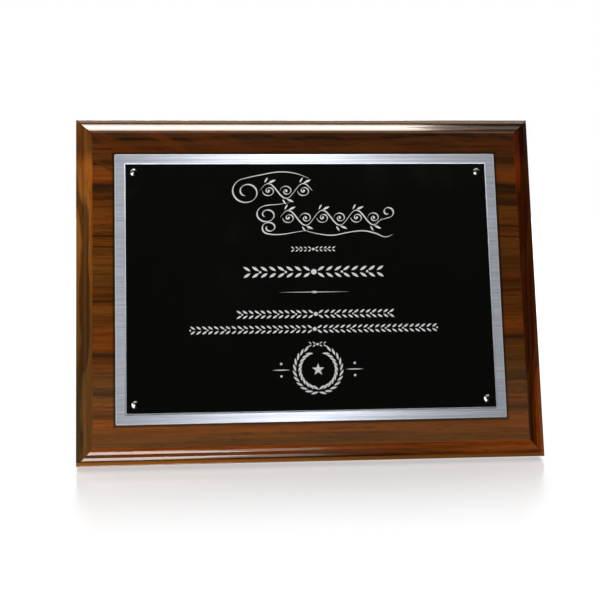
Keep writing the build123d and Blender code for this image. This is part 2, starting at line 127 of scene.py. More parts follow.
def ramp_value(tree, value, from_low, from_high, to_low=0.0, to_high=1.0):
    """A value carried smoothly from one range into another, and held at its ends."""
    made = shader_node(
        tree,
        "ShaderNodeMapRange",
        {"Value": value, 1: from_low, 2: from_high, 3: to_low, 4: to_high},
        interpolation_type="SMOOTHSTEP",
    )
    return made.outputs["Result"]


def mix_colours(tree, factor, first, second, blend_type="MIX"):
    """Two colours mixed by a factor."""
    made = shader_node(
        tree, "ShaderNodeMix", {0: factor, 6: first, 7: second}, data_type="RGBA", blend_type=blend_type
    )
    return made.outputs[2]


ROOM_BEHIND = 1.0
ROOM_IN_FRONT = 0.03

room = bpy.data.worlds.new("studio_room")
bpy.context.scene.world = room
room.use_nodes = True
room_tree = room.node_tree
room_tree.nodes.clear()
toward = shader_node(room_tree, "ShaderNodeTexCoord")
toward_parts = shader_node(room_tree, "ShaderNodeSeparateXYZ", {0: toward.outputs["Generated"]})
from_front = ramp_value(room_tree, toward_parts.outputs["Y"], -0.35, 0.6, ROOM_IN_FRONT, ROOM_BEHIND)
from_right = ramp_value(room_tree, toward_parts.outputs["X"], 0.28, 0.60, 1.0, 0.02)
well_behind = ramp_value(room_tree, toward_parts.outputs["Y"], 0.42, 0.58)
from_right = calculate(room_tree, "MAXIMUM", from_right, well_behind)
from_left = ramp_value(room_tree, toward_parts.outputs["X"], -0.75, -0.40, 0.45, 1.0)
room_light = calculate(room_tree, "MULTIPLY", from_front, from_right)
room_light = calculate(room_tree, "MULTIPLY", room_light, from_left)
seen_straight = shader_node(room_tree, "ShaderNodeLightPath").outputs["Is Camera Ray"]
room_strength = calculate(room_tree, "MAXIMUM", room_light, seen_straight)
room_glow = shader_node(
    room_tree, "ShaderNodeBackground", {"Color": (1.0, 1.0, 1.0, 1.0), "Strength": room_strength}
)
shader_node(room_tree, "ShaderNodeOutputWorld", {"Surface": room_glow.outputs[0]})


def soft_light(name, place, target, size, radiance, colour, shows_in_gloss):
    """A rectangular softbox aimed at a point: it lights matt surfaces, or only shows in glossy ones."""
    bpy.ops.object.light_add(type="AREA", location=place)
    lamp = bpy.context.object
    lamp.name = name
    lamp.data.shape = "RECTANGLE"
    lamp.data.size = size[0]
    lamp.data.size_y = size[1]
    lamp.data.energy = radiance * math.pi * size[0] * size[1]
    lamp.data.color = colour
    lamp.rotation_euler = (Vector(target) - Vector(place)).to_track_quat("-Z", "Y").to_euler()
    lamp.visible_camera = False
    lamp.visible_diffuse = not shows_in_gloss
    lamp.visible_glossy = shows_in_gloss
    return lamp


def light_only(lamp, piece):
    """Keeps a lamp to one piece, as flags and cards do in a studio. More pieces can be added."""
    lit = bpy.data.collections.new("lit_by_" + lamp.name)
    lit.objects.link(piece)
    lamp.light_linking.receiver_collection = lit
    return lit


WARM_WHITE = (1.0, 0.985, 0.975)
COOL_WHITE = (0.80, 0.93, 1.10)
OLIVE_WHITE = (0.72, 1.0, 0.80)
PLAQUE_MIDDLE = (0.0, 0.0, 0.1)
LOWER_EDGE = (0.0, -0.03, 0.01)
board_node = frame["nodes"]["board"]

soft_light("overhead_soft", (0.0, -0.15, 1.20), (0.0, -0.05, 0.0), (0.8, 0.8), 1.6, WARM_WHITE, False)
soft_light("front_fill", (-1.10, -1.15, 0.30), PLAQUE_MIDDLE, (0.9, 0.9), 1.8, (1.0, 0.98, 0.95), False)
board_cards = (
    ("overhead_shine", (-0.03, 0.30, 1.05), (-0.03, 0.30, 0.0), (0.56, 1.20), 18.5, WARM_WHITE),
    ("upper_card", (0.0, -0.75, 0.95), PLAQUE_MIDDLE, (1.6, 0.36), 2.6, WARM_WHITE),
    ("haze_card", (0.0, -1.30, 0.38), PLAQUE_MIDDLE, (2.0, 0.26), 0.55, OLIVE_WHITE),
    ("low_card", (-0.19, -0.85, -0.75), LOWER_EDGE, (0.33, 0.78), 21.0, COOL_WHITE),
    ("low_card_end", (0.04, -0.86, -0.76), LOWER_EDGE, (0.18, 0.70), 5.0, COOL_WHITE),
)
for name, stand, aim, size, radiance, colour in board_cards:
    light_only(soft_light(name, stand, aim, size, radiance, colour, True), board_node)

# ---------------------------------------------------------------------------
# Table. A plain white sheet with some light of its own. It mirrors the plaque faintly
# close to it, the mirror image softens away from it, and gloss doesn't mirror it.
# ---------------------------------------------------------------------------


def new_material(name):
    """A material, its node tree and its Principled shader."""
    material = bpy.data.materials.new(name)
    material.use_nodes = True
    tree = material.node_tree
    return material, tree, tree.nodes["Principled BSDF"]


def wire(tree, source, shader, socket):
    """Wires a value into a shader's socket."""
    tree.links.new(source, shader.inputs[socket])


TABLE_RADIUS = 7.0

bpy.ops.object.select_all(action="DESELECT")
bpy.ops.mesh.primitive_circle_add(
    vertices=96, radius=TABLE_RADIUS, fill_type="NGON", location=(0.0, 0.0, 0.0)
)
table = bpy.context.object
table.name = "white_table"
table_white, tree, shader = new_material("table_white")
place = shader_node(tree, "ShaderNodeTexCoord").outputs["Object"]
place_parts = shader_node(tree, "ShaderNodeSeparateXYZ", {0: place})
table_gloss = ramp_value(tree, place_parts.outputs["Y"], -0.03, -0.14, 0.12, 0.38)
wire(tree, table_gloss, shader, "Roughness")
# Painted shadow: the table's own light is weaker close in front of the plaque.
near_glow_with_painted_shadow = ramp_value(tree, place_parts.outputs["Y"], -0.05, -0.26, 0.47, 0.68)
from_plaque = shader_node(tree, "ShaderNodeVectorMath", {0: place}, operation="LENGTH").outputs["Value"]
far_glow = ramp_value(tree, from_plaque, 0.50, 1.30, 0.0, 0.45)
table_glow = calculate(tree, "ADD", near_glow_with_painted_shadow, far_glow)
glow_colour = mix_colours(tree, table_glow, (0.0, 0.0, 0.0, 1.0), (1.0, 1.0, 1.0, 1.0))
wire(tree, glow_colour, shader, "Emission Color")
shader.inputs["Emission Strength"].default_value = 1.0
shader.inputs["Base Color"].default_value = (0.80, 0.80, 0.80, 1.0)
table.data.materials.append(table_white)
table.visible_glossy = False

# ---------------------------------------------------------------------------
# Board. One solid piece of walnut, 12 by 9 inches, grain along its length, with
# an ogee routed round all four edges and a clear gloss lacquer over it.
# ---------------------------------------------------------------------------


def shader_group(name, inputs, outputs):
    """A shader node group: its tree, and the sockets inside it that carry its inputs and outputs."""
    tree = bpy.data.node_groups.new(name, "ShaderNodeTree")
    for label, kind, value in inputs:
        made = tree.interface.new_socket(name=label, in_out="INPUT", socket_type=kind)
        made.default_value = value
    for label, kind in outputs:
        tree.interface.new_socket(name=label, in_out="OUTPUT", socket_type=kind)
    start = tree.nodes.new("NodeGroupInput")
    end = tree.nodes.new("NodeGroupOutput")
    return tree, start.outputs, end.inputs


def place_group(tree, group, inputs):
    """A node group put into a material, with its own values."""
    return shader_node(tree, "ShaderNodeGroup", inputs, node_tree=group).outputs


def noise_at(tree, vector, stretch, scale, detail=2.0, roughness=0.5):
    """Noise whose pattern is stretched by dividing its coordinates."""
    stretched = shader_node(tree, "ShaderNodeVectorMath", {0: vector, 1: stretch}, operation="MULTIPLY")
    made = shader_node(
        tree,
        "ShaderNodeTexNoise",
        {"Vector": stretched.outputs[0], "Scale": scale, "Detail": detail, "Roughness": roughness},
    )
    return made.outputs["Fac"]


def noise_along(tree, value, scale, offset, detail=2.0):
    """Noise that depends on one value only, so that it follows the growth rings."""
    shifted = calculate(tree, "MULTIPLY_ADD", value, scale, offset)
    made = shader_node(
        tree, "ShaderNodeTexNoise", {"W": shifted, "Scale": 1.0, "Detail": detail}, noise_dimensions="1D"
    )
    return made.outputs["Fac"]


def upright_place(tree):
    """Places on the plaque: stood upright, and centred on the board's height."""
    place = shader_node(tree, "ShaderNodeTexCoord").outputs["Object"]
    return shader_node(
        tree,
        "ShaderNodeMapping",
        {"Vector": place, "Rotation": (lean, 0.0, 0.0), "Location": (0.0, 0.0, -board_middle.z)},
    ).outputs[0]


def beyond_outline(tree, parts, half_width, half_height):
    """How far a place lies beyond a rectangle's sides, and beyond its top or bottom."""
    past_side = calculate(tree, "ABSOLUTE", parts.outputs["X"])
    past_side = calculate(tree, "SUBTRACT", past_side, half_width)
    past_end = calculate(tree, "ABSOLUTE", parts.outputs["Z"])
    past_end = calculate(tree, "SUBTRACT", past_end, half_height)
    return past_side, past_end


walnut_figure, given, result = shader_group(
    "walnut_figure",
    [
        ("Vector", "NodeSocketVector", (0.0, 0.0, 0.0)),
        ("Body", "NodeSocketColor", (0.1, 0.04, 0.01, 1.0)),
        ("Dark", "NodeSocketColor", (0.02, 0.01, 0.003, 1.0)),
        ("Red", "NodeSocketColor", (0.2, 0.05, 0.01, 1.0)),
        ("Pale", "NodeSocketColor", (0.2, 0.1, 0.03, 1.0)),
    ],
    [
        ("Color", "NodeSocketColor"),
        ("Roughness", "NodeSocketFloat"),
        ("Height", "NodeSocketFloat"),
    ],
)
grain_vector = given["Vector"]
wander = noise_at(walnut_figure, grain_vector, (0.22, 1.0, 1.0), 8.0, 3.0)
ripple = noise_at(walnut_figure, grain_vector, (0.5, 1.0, 1.0), 45.0, 2.0)
across = shader_node(
    walnut_figure, "ShaderNodeVectorMath", {0: grain_vector, 1: (0.0, 1.0, 1.0)}, operation="MULTIPLY"
)
from_pith = shader_node(
    walnut_figure, "ShaderNodeVectorMath", {0: across.outputs[0]}, operation="LENGTH"
).outputs["Value"]
wandered = calculate(walnut_figure, "MULTIPLY_ADD", wander, 0.070, from_pith)
ring_radius = calculate(walnut_figure, "MULTIPLY_ADD", ripple, 0.006, wandered)
dark_band = noise_along(walnut_figure, ring_radius, 55.0, 3.7, 2.0)
dark_mask = ramp_value(walnut_figure, dark_band, 0.42, 0.72)
thin_band = noise_along(walnut_figure, ring_radius, 170.0, 9.1, 1.0)
thin_mask = ramp_value(walnut_figure, thin_band, 0.66, 0.76, 0.0, 0.75)
red_band = noise_along(walnut_figure, ring_radius, 42.0, 41.3, 2.0)
red_mask = ramp_value(walnut_figure, red_band, 0.40, 0.66)
ring_spacing = noise_along(walnut_figure, ring_radius, 30.0, 11.0, 1.0)
ring_count = calculate(walnut_figure, "MULTIPLY_ADD", ring_radius, 260.0, ring_spacing)
ring_phase = calculate(walnut_figure, "FRACT", ring_count)
late_wood = ramp_value(walnut_figure, ring_phase, 0.25, 0.98)
fibre = noise_at(walnut_figure, grain_vector, (16.0, 620.0, 620.0), 1.0, 3.0, 0.6)
coarse_fibre = noise_at(walnut_figure, grain_vector, (9.0, 200.0, 200.0), 1.0, 2.0)
pore_noise = noise_at(walnut_figure, grain_vector, (90.0, 1400.0, 1400.0), 1.0, 1.0)
pores = ramp_value(walnut_figure, pore_noise, 0.60, 0.72)

reddened = mix_colours(walnut_figure, red_mask, given["Body"], given["Red"])
banded = mix_colours(walnut_figure, dark_mask, reddened, given["Dark"])
lined = mix_colours(walnut_figure, thin_mask, banded, given["Dark"])
pale_share = calculate(walnut_figure, "MULTIPLY", late_wood, 0.16)
paled = mix_colours(walnut_figure, pale_share, lined, given["Pale"])
fibre_tone = ramp_value(walnut_figure, fibre, 0.3, 0.7, 0.80, 1.20)
coarse_tone = ramp_value(walnut_figure, coarse_fibre, 0.3, 0.7, 0.82, 1.18)
tone = calculate(walnut_figure, "MULTIPLY", fibre_tone, coarse_tone)
toned = shader_node(walnut_figure, "ShaderNodeVectorMath", {0: paled, "Scale": tone}, operation="SCALE")
pore_share = calculate(walnut_figure, "MULTIPLY", pores, 0.45)
pored = mix_colours(walnut_figure, pore_share, toned.outputs[0], (0.010, 0.004, 0.001, 1.0))
walnut_figure.links.new(pored, result["Color"])
rough_fibre = ramp_value(walnut_figure, fibre, 0.2, 0.8, 0.11, 0.20)
walnut_figure.links.new(rough_fibre, result["Roughness"])
sunk = calculate(walnut_figure, "MULTIPLY_ADD", pores, -1.0, coarse_fibre)
walnut_figure.links.new(sunk, result["Height"])

PITH_PLACE = (0.0, -0.060, 0.16)
EDGE_PITH_PLACE = (0.31, -0.040, 0.13)
MOULDING_REACH = 0.0111
MOULDED_DEPTH = 0.0070
RIM_HALF = (board_high.z - board_low.z) / 2
FACE_HALF_WIDTH = board_high.x - MOULDING_REACH
FACE_HALF_HEIGHT = RIM_HALF - MOULDING_REACH
FLARE_SLANT = math.radians(-28.0)
# The tints below are laid over the timber at the mouldings and rims. Most of them are
# painted light and shade: lighter moulding sides, bounce light on the lower moulding and
# lip, a highlight on the top rim and a shadow round the border plate. They were set to
# suit this room's light and aren't colours of the wood, so under another light they
# are better left out.
NO_PAINTED_LIGHT = (1.0, 1.0, 1.0, 1.0)
LEFT_LOW_PAINTED_LIGHT = (1.0, 1.40, 1.9, 1.0)
LEFT_HIGH_PAINTED_LIGHT = (2.3, 2.7, 2.4, 1.0)
RIGHT_PAINTED_LIGHT = (1.9, 1.10, 0.55, 1.0)
LOWER_PAINTED_LIGHT = (1.9, 1.35, 0.70, 1.0)
FLARE_RED = (0.125, 0.027, 0.002, 1.0)
LIP_PAINTED_BOUNCE = (0.56, 0.19, 0.022, 1.0)
TOP_RIM_PAINTED_HIGHLIGHT = (0.36, 0.27, 0.21, 1.0)
MITRE_DARK = (0.008, 0.003, 0.001, 1.0)
PLATE_SHADOW_DARK = (0.016, 0.004, 0.001, 1.0)

border_low, border_high = upright_box("border_plate")
border_half = (border_high - border_low) / 2

walnut_colours = {
    "Body": (0.156, 0.045, 0.0055, 1.0),
    "Dark": (0.036, 0.011, 0.0020, 1.0),
    "Red": (0.280, 0.058, 0.0035, 1.0),
    "Pale": (0.200, 0.095, 0.0240, 1.0),
}
walnut_lacquered, tree, shader = new_material("walnut_lacquered")
place = shader_node(tree, "ShaderNodeTexCoord").outputs["Object"]
squared = shader_node(
    tree, "ShaderNodeMapping", {"Vector": place, "Rotation": (lean, 0.0, 0.0), "Location": PITH_PLACE}
).outputs[0]
board_figure = place_group(tree, walnut_figure, {"Vector": squared, **walnut_colours})
crossed = shader_node(
    tree,
    "ShaderNodeMapping",
    {"Vector": squared, "Rotation": (0.0, math.pi / 2, 0.0), "Location": EDGE_PITH_PLACE},
).outputs[0]
end_figure = place_group(tree, walnut_figure, {"Vector": crossed, **walnut_colours})
centred_parts = shader_node(tree, "ShaderNodeSeparateXYZ", {0: upright_place(tree)})
beyond_side, beyond_end = beyond_outline(tree, centred_parts, FACE_HALF_WIDTH, FACE_HALF_HEIGHT)
nearer_side = calculate(tree, "SUBTRACT", beyond_side, calculate(tree, "MAXIMUM", beyond_end, 0.0))
on_side_moulding = ramp_value(tree, nearer_side, 0.0, 0.0002)
off_back = ramp_value(
    tree, centred_parts.outputs["Y"], board_high.y - 0.0006, board_high.y - 0.0002, 1.0, 0.0
)
on_side_moulding = calculate(tree, "MULTIPLY", on_side_moulding, off_back)
off_side_moulding = calculate(tree, "SUBTRACT", 1.0, on_side_moulding)
moulded_end = board_low.y + MOULDED_DEPTH
in_front = ramp_value(tree, centred_parts.outputs["Y"], moulded_end - 0.0008, moulded_end, 1.0, 0.0)
up_share = ramp_value(tree, centred_parts.outputs["Z"], -0.07, 0.07)
# Painted light on the side mouldings: the left one lighter and cooler, most of all up high, and the right one
# warmer.
left_painted_light = mix_colours(tree, up_share, LEFT_LOW_PAINTED_LIGHT, LEFT_HIGH_PAINTED_LIGHT)
right_share = ramp_value(tree, centred_parts.outputs["X"], -0.05, 0.05)
side_painted_light = mix_colours(tree, right_share, left_painted_light, RIGHT_PAINTED_LIGHT)
side_painted_light = mix_colours(tree, in_front, NO_PAINTED_LIGHT, side_painted_light)
end_tone = shader_node(
    tree, "ShaderNodeVectorMath", {0: end_figure["Color"], 1: side_painted_light}, operation="MULTIPLY"
)
board_tone = mix_colours(tree, on_side_moulding, board_figure["Color"], end_tone.outputs[0])
on_low_moulding = ramp_value(
    tree, centred_parts.outputs["Z"], -FACE_HALF_HEIGHT - 0.0002, -FACE_HALF_HEIGHT, 1.0, 0.0
)
on_low_moulding = calculate(tree, "MULTIPLY", on_low_moulding, in_front)
on_low_moulding = calculate(tree, "MULTIPLY", on_low_moulding, off_side_moulding)
# Painted bounce light: the lower moulding is made lighter and warmer.
lower_painted_light = mix_colours(tree, on_low_moulding, NO_PAINTED_LIGHT, LOWER_PAINTED_LIGHT)
board_tone = shader_node(
    tree, "ShaderNodeVectorMath", {0: board_tone, 1: lower_painted_light}, operation="MULTIPLY"
).outputs[0]
# Painted light and shade over the front: lighter towards the bottom and the left, darker along the top.
painted_height_light = ramp_value(tree, centred_parts.outputs["Z"], -0.115, 0.02, 1.10, 0.78)
painted_top_shade = ramp_value(tree, centred_parts.outputs["Z"], 0.080, 0.094, 1.0, 0.40)
painted_left_light = ramp_value(tree, centred_parts.outputs["X"], -0.142, 0.10, 1.32, 0.92)
board_light = calculate(tree, "MULTIPLY", calculate(tree, "MULTIPLY", painted_height_light, painted_top_shade), painted_left_light)
light_change = calculate(tree, "SUBTRACT", board_light, 1.0)
board_light = calculate(tree, "MULTIPLY_ADD", light_change, in_front, 1.0)
board_tone = shader_node(
    tree, "ShaderNodeVectorMath", {0: board_tone, "Scale": board_light}, operation="SCALE"
).outputs[0]
slanted = shader_node(
    tree, "ShaderNodeMapping", {"Vector": squared, "Rotation": (0.0, FLARE_SLANT, 0.0)}
).outputs[0]
flare_noise = noise_at(tree, slanted, (12.0, 90.0, 150.0), 1.0, 2.0)
flare_share = ramp_value(tree, flare_noise, 0.46, 0.62, 0.0, 0.85)
flare_left = ramp_value(tree, centred_parts.outputs["X"], -0.10, -0.02, 1.0, 0.25)
flare_high = ramp_value(tree, centred_parts.outputs["Z"], 0.02, 0.09)
flare_place = calculate(tree, "MULTIPLY", flare_left, flare_high)
flare_place = calculate(tree, "MULTIPLY", flare_place, off_side_moulding)
flare_place = calculate(tree, "MULTIPLY", flare_place, in_front)
flare_mask = calculate(tree, "MULTIPLY", flare_share, flare_place)
board_tone = mix_colours(tree, flare_mask, board_tone, FLARE_RED)
# Painted bounce light: an orange band along the lower lip, strongest at the left.
lip_low = ramp_value(tree, centred_parts.outputs["Z"], -RIM_HALF + 0.0021, -RIM_HALF + 0.0028, 1.0, 0.0)
lip_front = ramp_value(tree, centred_parts.outputs["Z"], -RIM_HALF + 0.0001, -RIM_HALF + 0.0003)
lip_bounce_share = ramp_value(tree, centred_parts.outputs["X"], -0.15, 0.15, 0.95, 0.30)
lip_front = calculate(tree, "MULTIPLY", lip_front, in_front)
lip_bounce_mask = calculate(tree, "MULTIPLY", calculate(tree, "MULTIPLY", lip_low, lip_front), lip_bounce_share)
board_tone = mix_colours(tree, lip_bounce_mask, board_tone, LIP_PAINTED_BOUNCE)
# Painted highlight: a pale band along the top rim.
top_rim_highlight_mask = ramp_value(tree, centred_parts.outputs["Z"], RIM_HALF - 0.0024, RIM_HALF - 0.0016, 0.0, 0.85)
top_rim_highlight_mask = calculate(tree, "MULTIPLY", top_rim_highlight_mask, in_front)
board_tone = mix_colours(tree, top_rim_highlight_mask, board_tone, TOP_RIM_PAINTED_HIGHLIGHT)
mitre_gap = calculate(tree, "ABSOLUTE", calculate(tree, "SUBTRACT", beyond_side, beyond_end))
mitre_line = ramp_value(tree, mitre_gap, 0.0003, 0.0008, 0.85, 0.0)
in_corner = ramp_value(tree, calculate(tree, "MINIMUM", beyond_side, beyond_end), 0.0, 0.0004)
mitre_line = calculate(tree, "MULTIPLY", calculate(tree, "MULTIPLY", mitre_line, in_corner), in_front)
mitre_line = calculate(tree, "MULTIPLY", mitre_line, up_share)
board_tone = mix_colours(tree, mitre_line, board_tone, MITRE_DARK)
# Painted shadow: a dark line on the wood round the border plate.
plate_side, plate_end = beyond_outline(tree, centred_parts, border_half.x, border_half.z)
from_plate = calculate(tree, "MAXIMUM", plate_side, plate_end)
plate_shadow_line = ramp_value(tree, from_plate, 0.0005, 0.0024, 0.80, 0.0)
plate_shadow_line = calculate(tree, "MULTIPLY", plate_shadow_line, in_front)
board_tone = mix_colours(tree, plate_shadow_line, board_tone, PLATE_SHADOW_DARK)
wire(tree, board_tone, shader, "Base Color")
wire(tree, board_figure["Roughness"], shader, "Roughness")
orange_peel = noise_at(tree, squared, (1.0, 1.0, 1.0), 420.0, 1.0)
lacquer_height = calculate(tree, "MULTIPLY_ADD", orange_peel, 0.8, board_figure["Height"])
lacquer_bump = shader_node(
    tree, "ShaderNodeBump", {"Height": lacquer_height, "Strength": 0.5, "Distance": 0.000012}
)
wire(tree, lacquer_bump.outputs[0], shader, "Normal")
shader.inputs["Specular IOR Level"].default_value = 0.40
# Clear lacquer reflects without colour. The warm tint suits this room's light.
shader.inputs["Specular Tint"].default_value = (1.0, 0.72, 0.50, 1.0)
shader.inputs["Coat Weight"].default_value = 0.15
shader.inputs["Coat Roughness"].default_value = 0.05
frame["nodes"]["board"].material_slots[0].material = walnut_lacquered

# ---------------------------------------------------------------------------
# Border plate. Aluminium sheet brushed along its length, silver anodised; its
# edge shows round the black plate, and tape holds it to the board.
# ---------------------------------------------------------------------------
brush_lines, given, result = shader_group(
    "brush_lines",
    [
        ("Vector", "NodeSocketVector", (0.0, 0.0, 0.0)),
        ("Fineness", "NodeSocketFloat", 3000.0),
    ],
    [
        ("Lines", "NodeSocketFloat"),
        ("Height", "NodeSocketFloat"),
    ],
)
fine = shader_node(
    brush_lines, "ShaderNodeVectorMath", {0: given["Vector"], "Scale": given["Fineness"]}, operation="SCALE"
).outputs[0]
hair = noise_at(brush_lines, fine, (0.004, 1.0, 1.0), 1.0, 2.0, 0.7)
swathe = noise_at(brush_lines, fine, (0.0012, 0.20, 0.20), 1.0, 2.0, 0.6)
lines_sum = calculate(brush_lines, "MULTIPLY_ADD", swathe, 1.6, hair)
lines = ramp_value(brush_lines, lines_sum, 0.95, 1.65)
brush_lines.links.new(lines, result["Lines"])
brush_lines.links.new(hair, result["Height"])

silver_brushed, tree, shader = new_material("silver_brushed")
squared = upright_place(tree)
brushing = place_group(tree, brush_lines, {"Vector": squared, "Fineness": 7000.0})
silver_tone = mix_colours(tree, brushing["Lines"], (0.46, 0.50, 0.57, 1.0), (0.66, 0.70, 0.78, 1.0))
squared_parts = shader_node(tree, "ShaderNodeSeparateXYZ", {0: squared})
rim_side, rim_end = beyond_outline(tree, squared_parts, border_half.x, border_half.z)
# Painted highlight: a lighter colour along the sheet's outer rim.
silver_rim_highlight = ramp_value(tree, calculate(tree, "MAXIMUM", rim_side, rim_end), -0.0010, -0.0004, 0.0, 0.8)
silver_tone = mix_colours(tree, silver_rim_highlight, silver_tone, (0.90, 0.92, 0.95, 1.0))
wire(tree, silver_tone, shader, "Base Color")
shader.inputs["Metallic"].default_value = 1.0
silver_gloss = ramp_value(tree, brushing["Lines"], 0.0, 1.0, 0.42, 0.38)
wire(tree, silver_gloss, shader, "Roughness")
shader.inputs["Anisotropic"].default_value = 0.9
up_tangent = shader_node(tree, "ShaderNodeTangent", direction_type="UV_MAP", uv_map="across_the_brushing")
wire(tree, up_tangent.outputs[0], shader, "Tangent")
silver_bump = shader_node(
    tree, "ShaderNodeBump", {"Height": brushing["Height"], "Strength": 0.3, "Distance": 0.00003}
)
wire(tree, silver_bump.outputs[0], shader, "Normal")



def select_only(piece):
    """Selects one piece and nothing else."""
    bpy.ops.object.select_all(action="DESELECT")
    piece.select_set(True)
    bpy.context.view_layer.objects.active = piece


SHEET_CORNER = 0.0008
SHEET_EDGE = 0.00025
UV_UP = 4.0
UV_ALONG = 3.0
border_size = border_high - border_low
border_centre = (border_low + border_high) / 2
bpy.ops.object.select_all(action="DESELECT")
bpy.ops.mesh.primitive_cube_add(size=1.0, location=border_centre)
border = bpy.context.object
border.name = "border_sheet"
bpy.ops.object.transform_apply(location=True, rotation=True, scale=True)
bpy.ops.object.mode_set(mode="EDIT")
bpy.ops.mesh.select_all(action="SELECT")
bpy.ops.transform.resize(value=border_size, center_override=border_centre)
bpy.ops.mesh.select_mode(type="EDGE")
bpy.ops.mesh.select_all(action="DESELECT")
bpy.ops.object.mode_set(mode="OBJECT")
for edge in border.data.edges:
    first, second = (border.data.vertices[number].co for number in edge.vertices)
    edge.select = abs(first.y - second.y) > border_size.y / 2
bpy.ops.object.mode_set(mode="EDIT")
bpy.ops.mesh.bevel(offset=SHEET_CORNER, segments=4, affect="EDGES")
bpy.ops.mesh.select_all(action="DESELECT")
bpy.ops.object.mode_set(mode="OBJECT")
for edge in border.data.edges:
    first, second = (border.data.vertices[number].co for number in edge.vertices)
    edge.select = max(first.y, second.y) < border_low.y + border_size.y / 4
bpy.ops.object.mode_set(mode="EDIT")
bpy.ops.mesh.bevel(offset=SHEET_EDGE, segments=2, affect="EDGES")
bpy.ops.object.mode_set(mode="OBJECT")
uv_layer = border.data.uv_layers.new(name="across_the_brushing")
for loop in border.data.loops:
    corner = border.data.vertices[loop.vertex_index].co
    uv_layer.data[loop.index].uv = (corner.z * UV_UP, (corner.x + corner.y) * UV_ALONG)
border.matrix_world = lean_back
select_only(border)
bpy.ops.object.transform_apply(location=True, rotation=True, scale=True)
border.data.materials.append(silver_brushed)
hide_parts("border_plate")
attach(border, "board")

sheet_glow = soft_light("sheet_glow", (0.095, -1.05, 0.72), PLAQUE_MIDDLE, (0.15, 1.5), 4.6, WARM_WHITE, True)
light_only(sheet_glow, border)
sheet_wash = soft_light("sheet_wash", (-0.40, -1.25, 0.80), PLAQUE_MIDDLE, (2.6, 1.8), 0.72, WARM_WHITE, True)
light_only(sheet_wash, border)

adhesive_tape, tree, shader = new_material("adhesive_tape")
place = shader_node(tree, "ShaderNodeTexCoord").outputs["Object"]
tape_cloud = noise_at(tree, place, (1.0, 1.0, 1.0), 140.0, 3.0)
tape_tone = mix_colours(tree, tape_cloud, (0.46, 0.44, 0.38, 1.0), (0.66, 0.64, 0.58, 1.0))
wire(tree, tape_tone, shader, "Base Color")
shader.inputs["Roughness"].default_value = 0.45
frame["nodes"]["border_plate_tape"].material_slots[0].material = adhesive_tape
frame["nodes"]["engraved_plate_tape"].material_slots[0].material = adhesive_tape

# ---------------------------------------------------------------------------
# Engraved plate. Aluminium with a baked gloss black coat, taped to the border
# plate; a faint haze of handling marks is all that shows on it.
# ---------------------------------------------------------------------------
handling_marks, given, result = shader_group(
    "handling_marks",
    [
        ("Vector", "NodeSocketVector", (0.0, 0.0, 0.0)),
        ("Spread", "NodeSocketFloat", 1.0),
    ],
    [
        ("Smudge", "NodeSocketFloat"),
        ("Dust", "NodeSocketFloat"),
    ],
)
spread = shader_node(
    handling_marks, "ShaderNodeVectorMath", {0: given["Vector"], "Scale": given["Spread"]}, operation="SCALE"
).outputs[0]
smudge_noise = noise_at(handling_marks, spread, (1.0, 1.0, 1.0), 28.0, 4.0, 0.55)
smudge = ramp_value(handling_marks, smudge_noise, 0.45, 0.75)
dust_noise = noise_at(handling_marks, spread, (1.0, 1.0, 1.0), 2400.0, 1.0)
dust = ramp_value(handling_marks, dust_noise, 0.72, 0.78)
handling_marks.links.new(smudge, result["Smudge"])
handling_marks.links.new(dust, result["Dust"])

plate_low, plate_high = upright_box("engraved_plate")
plate_half = (plate_high - plate_low) / 2
CUT_EDGE = 0.0007

black_plate, tree, shader = new_material("black_plate")
place = shader_node(tree, "ShaderNodeTexCoord").outputs["Object"]
centred_parts = shader_node(tree, "ShaderNodeSeparateXYZ", {0: upright_place(tree)})
cut_side, cut_end = beyond_outline(tree, centred_parts, plate_half.x - CUT_EDGE, plate_half.z - CUT_EDGE)
cut_edge = calculate(tree, "GREATER_THAN", calculate(tree, "MAXIMUM", cut_side, cut_end), 0.0)
marks = place_group(tree, handling_marks, {"Vector": place, "Spread": 1.0})
black_tone = mix_colours(tree, marks["Dust"], (0.0028, 0.0034, 0.0024, 1.0), (0.02, 0.02, 0.02, 1.0))
plate_tone = mix_colours(tree, cut_edge, black_tone, (0.80, 0.82, 0.86, 1.0))
wire(tree, plate_tone, shader, "Base Color")
wire(tree, cut_edge, shader, "Metallic")
black_gloss = ramp_value(tree, marks["Smudge"], 0.0, 1.0, 0.07, 0.13)
plate_gloss = calculate(tree, "MULTIPLY_ADD", cut_edge, 0.38, black_gloss)
wire(tree, plate_gloss, shader, "Roughness")
plate_node = frame["nodes"]["engraved_plate"]
plate_node.material_slots[0].material = black_plate
plate_card = soft_light("plate_card", (-0.10, -0.75, 0.97), PLAQUE_MIDDLE, (1.2, 0.36), 8.0, WARM_WHITE, True)
plate_card_lit = light_only(plate_card, plate_node)

# ---------------------------------------------------------------------------
# Plate pins. Four short nickel-plated nails with eight-sided diamond-cut heads,
# pressed through both plates into the board.
# ---------------------------------------------------------------------------
pin_bright, tree, shader = new_material("pin_bright")
place = shader_node(tree, "ShaderNodeTexCoord").outputs["Object"]
pin_marks = place_group(tree, handling_marks, {"Vector": place, "Spread": 6.0})
pin_tone = mix_colours(tree, pin_marks["Smudge"], (0.93, 0.90, 0.84, 1.0), (0.80, 0.76, 0.70, 1.0))
wire(tree, pin_tone, shader, "Base Color")
shader.inputs["Metallic"].default_value = 1.0
pin_gloss = ramp_value(tree, pin_marks["Smudge"], 0.0, 1.0, 0.10, 0.20)
wire(tree, pin_gloss, shader, "Roughness")
pins_node = frame["nodes"]["plate_pins"]
pins_node.material_slots[0].material = pin_bright
pin_card = soft_light("pin_card", (-0.75, -0.25, -0.30), PLAQUE_MIDDLE, (1.5, 1.3), 1.5, WARM_WHITE, True)
light_only(pin_card, pins_node)

